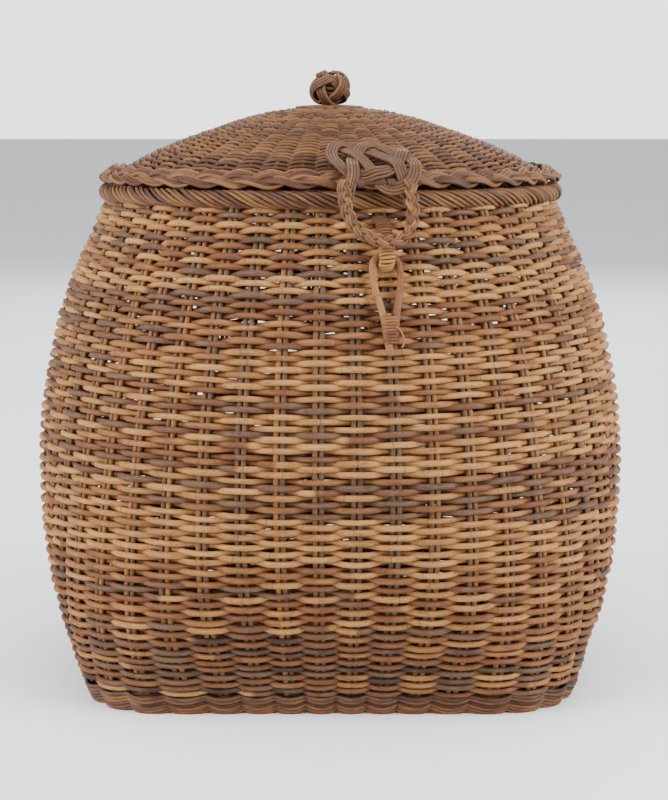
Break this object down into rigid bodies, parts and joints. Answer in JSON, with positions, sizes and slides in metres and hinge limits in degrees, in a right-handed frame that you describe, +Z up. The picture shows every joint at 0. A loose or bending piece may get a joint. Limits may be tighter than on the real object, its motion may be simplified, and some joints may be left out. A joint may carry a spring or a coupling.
{
  "type": "lidded basket",
  "caption": "Round-bellied woven cane storage basket on a rounded-square foot, with a domed lid hinged at the back and closed by a braided hasp loop, an eye and a hanging toggle.",
  "frame": {"origin": "middle of the foot, on the floor", "axes": "+Z up; the front with the clasp faces -Y, and the hinge and clasp share an upright plane turned 10.5 degrees about +Z"},
  "size_m": [0.3944, 0.3944, 0.4006],
  "materials": {
    "weaver_cane": "satin",
    "stake_cane": "satin",
    "border_cane": "satin",
    "lid_cane": "satin",
    "plait_cane": "satin",
    "knot_cane": "satin",
    "braid_cane": "satin",
    "binding_cane": "satin",
    "peg_cane": "satin"
  },
  "bodies": {
    "body": {"base_mat": "weaver_cane", "foot_wale": "weaver_cane", "side_weave": "weaver_cane", "side_stakes": "stake_cane", "rim_border": "border_cane", "clasp_eye_core": "peg_cane", "clasp_eye_wrap": "binding_cane", "hinge_eye_core_left": "peg_cane", "hinge_eye_core_right": "peg_cane", "hinge_eye_wrap_left": "binding_cane", "hinge_eye_wrap_right": "binding_cane"},
    "lid": {"lid_weave": "lid_cane", "lid_ribs": "lid_cane", "lid_hub": "lid_cane", "lid_border": "plait_cane", "knob": "knot_cane", "knob_stem": "knot_cane", "mat_knot": "knot_cane", "hasp_ties": "braid_cane", "hinge_link_left": "peg_cane", "hinge_link_right": "peg_cane"},
    "hasp": {"hasp_loop": "braid_cane"},
    "toggle": {"toggle_pin": "peg_cane", "toggle_lashing": "binding_cane"}
  },
  "joints": [
    {"name": "lid_hinge", "type": "hinge", "parent": "body", "child": "lid", "pos_m": [-0.02989, 0.16125, 0.321], "axis": [-0.9833, -0.1822, 0], "range_deg": [0, 105]},
    {"name": "hasp_hinge", "type": "hinge", "parent": "lid", "child": "hasp", "pos_m": [0.02943, -0.1588, 0.331], "axis": [-0.9833, -0.1822, 0], "range_deg": [0, 110]},
    {"name": "toggle_hinge", "type": "hinge", "parent": "body", "child": "toggle", "pos_m": [0.03318, -0.16807, 0.2868], "axis": [-0.9833, -0.1822, 0], "range_deg": [0, 70]}
  ]
}
